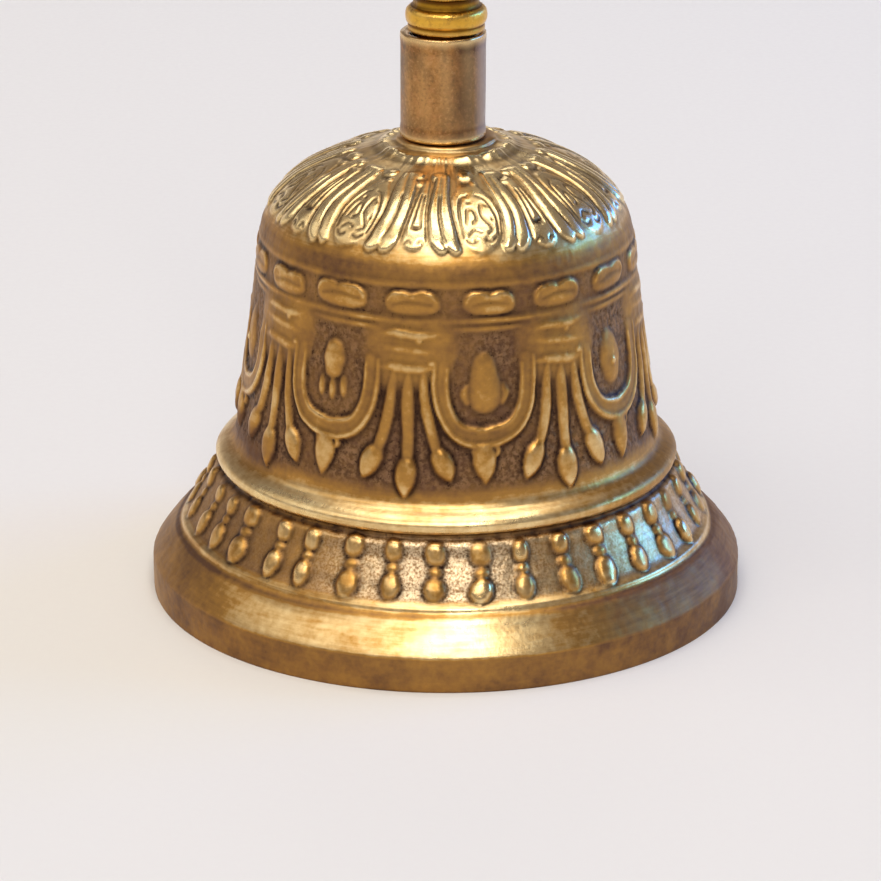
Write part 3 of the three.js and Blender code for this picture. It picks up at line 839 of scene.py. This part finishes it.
def plain_metal(name, dark, light, roughness):
    """Metal with a fine grain, clouded from a dark to a light colour."""
    n = Nodes(name)
    grain = n.noise(0.0008, 4)
    cloud = n.noise(0.0064, 3)
    base = n.mix(n.span(cloud, 0.35, 0.65), dark, light)
    rough = n.span(grain, 0.3, 0.7, roughness - 0.08, roughness + 0.08)
    return n.finish(base, rough, n.bump(grain, 0.0001, 0.5))


# Turned and melted pieces

def turned_points(node, columns, row, reach, ornament=None):
    """A node's outside, finely spaced, its edges rounded and ornament raised on it, and its plain inside."""
    loop = cad_section(node)
    top = int(np.argmax(loop[:, 1]))
    outside = respaced(softened(loop[:top + 1], reach), row)
    inside = respaced(np.concatenate([loop[top:], loop[:1]]), 4 * row)[1:-1]
    relief = Relief(outside, columns)
    if ornament:
        ornament(relief)
    return np.concatenate([displaced(outside, blurred(relief.high, 0.5)), ring_points(inside, columns)])


def pole_to_pole(name, section, columns, radius_of=None):
    """A turned mesh whose section starts and ends on the axis."""
    section = np.asarray(section, float)
    section[:, 0] = np.maximum(section[:, 0], POLE)
    points = ring_points(section, columns)
    if radius_of is not None:
        points[:, :, :2] *= radius_of(section, np.radians(column_turns(columns)))[:, :, None]
    return grid_object(name, points, closed=False)


def swept(name, centres, across, up):
    """A bar with soft corners along centres in the XZ plane, as wide and high each side as listed, in mm."""
    centres = smooth_places(centres, 8)
    along = np.linspace(0, 1, len(centres))
    across = np.interp(along, np.linspace(0, 1, len(across)), across)
    up = np.interp(along, np.linspace(0, 1, len(up)), up)
    slope = np.gradient(centres, axis=0)
    slope /= np.hypot(*slope.T)[:, None]
    turn = np.linspace(0, 2 * pi, BAR_COLUMNS, endpoint=False)
    boxy = np.maximum(abs(np.cos(turn)), abs(np.sin(turn))) ** -0.45
    side, rise = np.cos(turn) * boxy, np.sin(turn) * boxy
    x = centres[:, :1] + slope[:, 1:] * up[:, None] * rise
    z = centres[:, 1:] - slope[:, :1] * up[:, None] * rise
    return grid_object(name, np.stack([x, across[:, None] * side, z], 2) * MM, closed=False)


def wire_ring(name, centre, radius, wire):
    """A ring of wire in the XZ plane round a height in mm, a little flattened by hammering."""
    turn = np.linspace(0, 2 * pi, WIRE_ROWS, endpoint=False)[:, None]
    around = np.linspace(0, 2 * pi, WIRE_COLUMNS, endpoint=False)[None, :]
    uneven = 1 - 0.03 * (1 + np.sin(3 * turn + 1) * np.sin(2 * around))
    reach = radius + wire * uneven * np.cos(around)
    y = wire * uneven * np.sin(around) + 0 * turn
    return grid_object(name, np.stack([reach * np.sin(turn), y, centre + reach * np.cos(turn)], 2) * MM)


def wire_eye(centre, radius, wire):
    """A wire ring turned to lie in the YZ plane."""
    ring = wire_ring("eye", centre, radius, wire)
    ring.data.transform(Matrix.Rotation(radians(90), 4, "Z"))
    return ring


def joined(parts):
    """The first of the parts, with the meshes of the others in it."""
    first = parts[0]
    with bpy.context.temp_override(active_object=first, selected_editable_objects=parts):
        bpy.ops.object.join()
    return first


def melted(name, parts, voxel):
    """Overlapping parts made into one skin, with its steps smoothed out."""
    first = joined(parts)
    remesh = first.modifiers.new("remesh", "REMESH")
    remesh.mode = "VOXEL"
    remesh.voxel_size = voxel * MM
    smooth = first.modifiers.new("smooth", "SMOOTH")
    smooth.factor = 0.5
    smooth.iterations = SMOOTHINGS
    mesh = bpy.data.meshes.new_from_object(first.evaluated_get(bpy.context.evaluated_depsgraph_get()))
    bpy.data.objects.remove(first)
    mesh.name = name
    mesh.polygons.foreach_set("use_smooth", np.ones(len(mesh.polygons), bool))
    return new_object(name, mesh)


def mark_shape(piece, reach, depth):
    """Stores how far each point lies under or over those round it, as sunk and worn, where a depth in mm is 1."""
    mesh = piece.data
    count = len(mesh.vertices)
    places, normals = np.empty(3 * count, np.float32), np.empty(3 * count, np.float32)
    mesh.vertices.foreach_get("co", places)
    mesh.vertices.foreach_get("normal", normals)
    ends = np.empty(2 * len(mesh.edges), np.int32)
    mesh.edges.foreach_get("vertices", ends)
    places, normals, ends = places.reshape(-1, 3), normals.reshape(-1, 3), ends.reshape(-1, 2)
    here, there = np.concatenate([ends, ends[:, ::-1]]).T
    shared = np.maximum(np.bincount(here, minlength=count), 1)
    middle = places.astype(float)
    for _ in range(reach):
        middle = np.stack([np.bincount(here, middle[there, i], count) / shared for i in range(3)], 1)
    over = ((places - middle) * normals).sum(1) / (depth * MM)
    for field, values in (("sunk", -over), ("worn", over)):
        store(mesh, field, np.clip(values, 0, 1))


# Handle

def sleeve_tube():
    low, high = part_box("neck_sleeve")
    foot = low.z / MM

    def unevenness(relief):
        relief.high += 0.05 * relief.waves(0.5)
        relief.high += 0.12 * relief.between(foot, foot + 1.0, 1.2)

    points = turned_points("neck_sleeve", 192, 0.2, 0.35, unevenness)
    points[:, :, 0] += (low.x + high.x) / 2
    return grid_object("sleeve_tube", points)


def petal_ring(relief, count, base, tip, wide, high, middle=0.0):
    """Petals from a base height to a tip height, each with a raised heart and a fine midrib."""
    relief.repeat(middle, count)
    heights = np.linspace(base, tip, 6)
    whole = [(0, height) for height in heights]
    heart = [(0, height) for height in heights[:5]]
    relief.raise_by(
        relief.ridge(whole, [wide * w for w in (0.86, 1.0, 1.02, 0.9, 0.62, 0.12)], high, 0.35),
        relief.ridge(heart, [wide * w for w in (0.4, 0.6, 0.62, 0.46, 0.1)], 1.5 * high, 0.5),
    )


def grip_ornament(relief):
    """Petals on the bulb and on both halves of the lotus, flutes on the barrel and beads on the rings."""
    petal_ring(relief, 10, 90.2, 83.2, 2.05, 0.34)
    petal_ring(relief, 12, 117.0, 112.9, 2.0, 0.42)
    petal_ring(relief, 12, 118.6, 122.5, 2.0, 0.42, 15)
    relief.repeat(0, 10)
    flute = [(0, 97.3), (0, 99.5), (0, 102.2), (0, 104.9), (0, 107.0)]
    relief.raise_by(relief.ridge(flute, (0.3, 1.1, 1.4, 1.1, 0.3), 0.45, 0.5))
    relief.repeat(18, 10)
    relief.raise_by(*(relief.blob((0, height), (0.7, 0.7), 0.4) for height in (98.0, 106.4)))
    relief.repeat(0, 22)
    relief.raise_by(*(relief.blob((0, height), (0.7, 0.75), 0.4, 0.5) for height in (95.25, 109.05)))
    relief.high += 0.03 * relief.waves(0.6)


def grip_casting():
    points = turned_points("handle_grip", GRIP_COLUMNS, GRIP_ROW, 0.1, grip_ornament)
    return grid_object("grip_casting", points)


def swell(edge, radius, low, high):
    """Section points that bulge or hollow from an edge radius to a middle radius and back."""
    turn = np.linspace(0, pi, SWELL_STEPS)
    return np.stack([edge + (radius - edge) * np.sin(turn), low + (high - low) * (1 - np.cos(turn)) / 2], 1)


def vajra():
    """A lotus hub with a bead ring, a squared middle prong and four curved prongs whose tips close on it."""
    low, high = heights("vajra_finial")
    bore = respaced(np.array([(POLE, low + 4.3), (2.3, low + 4.3), (2.3, low)]), HUB_ROW)[:-1]
    outside = respaced(np.concatenate([
        [(2.3, low), (5.25, low), (5.4, low + 0.2), (5.25, low + 0.75)],
        swell(4.7, 5.6, low + 0.8, low + 5.0),
        swell(3.8, 3.4, low + 5.1, low + 6.3),
        swell(3.6, 4.7, low + 6.4, low + 8.6),
        swell(2.0, 2.9, low + 8.7, low + 30.4),
        [(2.3, low + 30.5), (2.5, low + 30.9), (2.3, low + 31.4), (1.9, low + 32.4), (1.35, low + 34.6),
         (0.75, low + 36.8), (0.35, high - 0.5), (POLE, high)],
    ]), HUB_ROW)
    relief = Relief(outside, HUB_COLUMNS)
    petal_ring(relief, 8, low + 1.2, low + 4.8, 1.95, 0.4)
    relief.repeat(0, 14)
    relief.raise_by(relief.blob((0, low + 7.5), (0.8, 0.8), 0.5, 0.5))
    squared = relief.between(low + 9.5, low + 29.5, 3.0)
    spread = np.cos(2 * np.radians(relief.turns)) ** 2
    relief.high -= squared * 0.35 * (1 - spread)[None, :]
    skin = [ring_points(bore, HUB_COLUMNS), displaced(outside, relief.high)]
    parts = [grid_object("hub", np.concatenate(skin), closed=False)]
    base = low + 7.6
    line = [(2.2, base + 0.6), (4.9, base + 1.6), (7.4, base + 3.5), (8.9, base + 7.8), (8.5, base + 11.6),
            (6.7, base + 15.4), (4.0, base + 19.6), (1.9, base + 23.1)]
    wide = (1.2, 1.25, 1.4, 1.35, 1.3, 1.15, 0.95, 0.6)
    thick = (1.0, 1.15, 1.3, 1.15, 1.1, 1.0, 0.8, 0.5)
    bars = (
        ("prong", line, wide, thick),
        ("curl", [(6.0, base + 2.4), (7.6, base + 3.4), (8.5, base + 5.2)], (1.2, 1.5, 1.2), (1.1, 1.42, 1.1)),
        ("ring", [(8.6, base + 11.1), (8.3, base + 12.2)], (1.35, 1.45, 1.35), (1.2, 1.3, 1.2)),
    )
    for i in range(4):
        for shape in bars:
            bar = swept(*shape)
            bar.data.transform(Matrix.Rotation(radians(45 + 90 * i), 4, "Z"))
            parts.append(bar)
    return melted("vajra", parts, 0.22)


# Inside the bell

def threaded(section, turns):
    """Radius shares of a rod with a thread cut in it, deep between the thread's ends."""
    height = section[:, 1:]
    phase = height / THREAD_PITCH - turns[None, :] / (2 * pi)
    start, end = THREAD
    depth = 0.09 * np.clip((end - height) / 0.6, 0, 1) * np.clip((height - start) / 0.6, 0, 1)
    return 1 - depth * (0.5 + 0.5 * np.cos(2 * pi * phase))


def tie_rod():
    """The rod from the finial down to its eye, with the nut's thread on it."""
    low, high = heights("tie_rod")
    thick, wire, radius = 1.98, 0.96, 2.6
    centre = low + wire + radius + 0.04
    shank = [(POLE, centre + 2.0), (1.1, centre + 2.05), (1.4, centre + 2.8), (1.95, centre + 3.5)]
    shank += [(thick, centre + 3.7)]
    shank += [(thick, height) for height in np.arange(centre + 3.8, THREAD[1] + 0.1, THREAD_ROW)]
    shank += [(thick, 90.0), (thick, high - 0.3), (1.8, high - 0.02), (POLE, high - 0.01)]
    rod = pole_to_pole("rod", shank, ROD_COLUMNS, threaded)
    return joined([rod, wire_eye(centre, radius, wire)])


def nut():
    """A hexagon with its corners chamfered on both faces."""
    bottom, top = heights("crown_nut")
    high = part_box("crown_nut")[1]
    flat, corner = high.y / MM, high.x / MM
    bore, countersink, face = 2.3, 2.6, flat - 0.12
    outline = np.array([
        (bore, bottom + 0.3), (countersink, bottom), (face, bottom), (corner, bottom + 0.4),
        (corner, top - 0.4), (face, top), (countersink, top), (bore, top - 0.3),
    ])
    fine = respaced(np.concatenate([outline, outline[:1]]), 0.12)[:-1]
    turns = np.radians(column_turns(NUT_COLUMNS))
    from_flat = (turns + pi) % (pi / 3) - pi / 6
    reach = np.minimum(fine[:, :1], flat / np.cos(from_flat)[None, :])
    height = fine[:, 1:] + 0 * turns
    points = np.stack([reach * np.cos(turns), reach * np.sin(turns), height], 2) * MM
    return grid_object("nut", points)


def clapper():
    """Wire bent into an eye, with a collar over the ball and a hammered head under it."""
    low, high = heights("clapper_rod")
    thick, wire, radius, step = 1.27, 0.87, 2.4, 0.15
    centre = high - radius - 0.9
    shank = np.array([
        (POLE, low), (1.5, low + 0.04), (2.1, low + 0.3), (2.28, low + 0.62), (2.2, low + 0.9),
        (thick, low + 0.9), (thick, low + 14.1), (2.05, low + 14.1), (2.28, low + 14.35), (2.28, low + 14.75),
        (2.0, low + 14.98), (1.3, low + 15.1), (thick, low + 16.0), (thick, centre - 4.2), (1.2, centre - 2.6),
        (POLE, centre - 2.0),
    ])
    rod = pole_to_pole("shank", respaced(shank, step), ROD_COLUMNS)
    return melted("clapper", [rod, wire_eye(centre, radius, wire)], step)


def link():
    """The wire ring that hangs in the tie rod's eye."""
    low, high = heights("hanger_link")
    return wire_ring("link", (low + high) / 2, (high - low) / 2 - 0.8, 0.78)


def ball_wear(relief):
    """A dented ball with a flat worn round it where it strikes."""
    relief.high += 0.04 * relief.waves(0.8)
    relief.sink_by(0.12 * relief.between(8.0, 11.0, 1.4))


def build():
    bronze, brass = bell_bronze(), handle_brass()
    steel = plain_metal("rod_steel", colour(120, 116, 110), colour(160, 156, 150), 0.38)
    iron = plain_metal("clapper_iron", colour(52, 47, 42), colour(92, 82, 72), 0.5)
    ball = plain_metal("ball_brass", colour(150, 108, 52), colour(196, 150, 84), 0.33)
    turned_ball = grid_object("ball", turned_points("clapper_ball", 128, 0.2, 0.15, ball_wear))
    washer = grid_object("washer", turned_points("crown_washer", 96, 0.1, 0.12))
    for piece, node, body, slot, material in (
        (bell_casting(), "bell_body", "bell", "bell_bronze", bronze),
        (sleeve_tube(), "neck_sleeve", "bell", "sleeve_bronze", sleeve_bronze()),
        (grip_casting(), "handle_grip", "bell", "handle_brass", brass),
        (vajra(), "vajra_finial", "bell", "handle_brass", brass),
        (tie_rod(), "tie_rod", "bell", "rod_steel", steel),
        (washer, "crown_washer", "bell", "rod_steel", steel),
        (nut(), "crown_nut", "bell", "rod_steel", steel),
        (link(), "hanger_link", "link", "clapper_iron", iron),
        (clapper(), "clapper_rod", "clapper", "clapper_iron", iron),
        (turned_ball, "clapper_ball", "clapper", "ball_brass", ball),
    ):
        if slot != "bell_bronze":
            mark_shape(piece, reach=5, depth=0.05)
        piece.data.materials.clear()
        piece.data.materials.append(material)
        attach(piece, body)
        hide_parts(node)


# Stage

def stage():
    size = 3.0
    corners = [(-size, -size, 0), (size, -size, 0), (size, size, 0), (-size, size, 0)]
    mesh = bpy.data.meshes.new("floor")
    mesh.from_pydata(corners, [], [(0, 1, 2, 3)])
    floor = new_object("floor", mesh)
    n = Nodes("floor_paper")
    weave = n.noise(0.0012, 3)
    depth = n.place("Y")
    # Painted light: the floor's colour is lighter towards the back.
    base = n.mix(n.span(depth, -0.1, 0.35), colour(231, 227, 219), colour(239, 235, 226))
    base = n.mix(n.span(weave, 0.3, 0.7, 0, 0.3), base, colour(230, 224, 217))
    floor.data.materials.append(n.finish(base, 0.9, n.bump(weave, 0.0001, 0.2), metallic=0.0))


def softbox(name, azimuth, elevation, spread, brightness, tint):
    """A lamp that the bell sees at an azimuth to the camera's right and an elevation, spread wide and tall."""
    data = bpy.data.lights.new(name, "AREA")
    data.shape = "RECTANGLE"
    data.size, data.size_y = (2 * LAMP_DISTANCE * tan(radians(angle / 2)) for angle in spread)
    data.energy = brightness * pi * data.size * data.size_y
    data.color = tint
    lamp = new_object(name, data)
    turn, rise = radians(azimuth), radians(elevation)
    away = Vector((sin(turn) * cos(rise), -cos(turn) * cos(rise), sin(rise)))
    lamp.location = LAMP_AIM + LAMP_DISTANCE * away
    lamp.rotation_euler = away.to_track_quat("Z", "Y").to_euler()


def lights():
    softbox("key", 12, 50, (12, 30), 6.1, WARM)
    softbox("beside", -14, 49, (24, 28), 2.6, WARM)
    softbox("left", -44, 46, (34, 26), 1.3, WARM)
    softbox("far_left", -84, 40, (44, 28), 0.7, WARM)
    softbox("overhead", 180, 88, (44, 32), 3.0, WARM)
    softbox("back", 180, 38, (20, 12), 1.6, WARM)
    softbox("window_edge", 97, 18, (18, 12), 13.0, (0.1, 0.42, 1.0))
    softbox("window", 118, 18, (22, 12), 9.0, (0.03, 0.2, 1.0))


def sky():
    """Pale round the horizon, as the floor is, and dim above it."""
    world = bpy.data.worlds.new("studio")
    bpy.context.scene.world = world
    world.use_nodes = True
    tree = world.node_tree
    direction = tree.nodes.new("ShaderNodeTexCoord").outputs["Generated"]
    parts = tree.nodes.new("ShaderNodeSeparateXYZ")
    tree.links.new(direction, parts.inputs[0])
    ramp = tree.nodes.new("ShaderNodeValToRGB")
    stops = ((0.12, colour(236, 230, 228)), (0.3, colour(126, 120, 122)))
    for element, (place, tint) in zip(ramp.color_ramp.elements, stops):
        element.position, element.color = place, tint
    tree.links.new(parts.outputs["Z"], ramp.inputs[0])
    tree.links.new(ramp.outputs[0], tree.nodes["Background"].inputs["Color"])


def camera():
    data = bpy.data.cameras.new("view")
    data.sensor_width = SENSOR
    data.lens = CAMERA_LENS
    view = new_object("view", data)
    view.location = CAMERA_PLACE
    view.rotation_euler = (radians(90 - CAMERA_PITCH), 0, 0)
    bpy.context.scene.camera = view


camera()
stage()
lights()
sky()
build()
bpy.context.scene.view_settings.view_transform = "Standard"
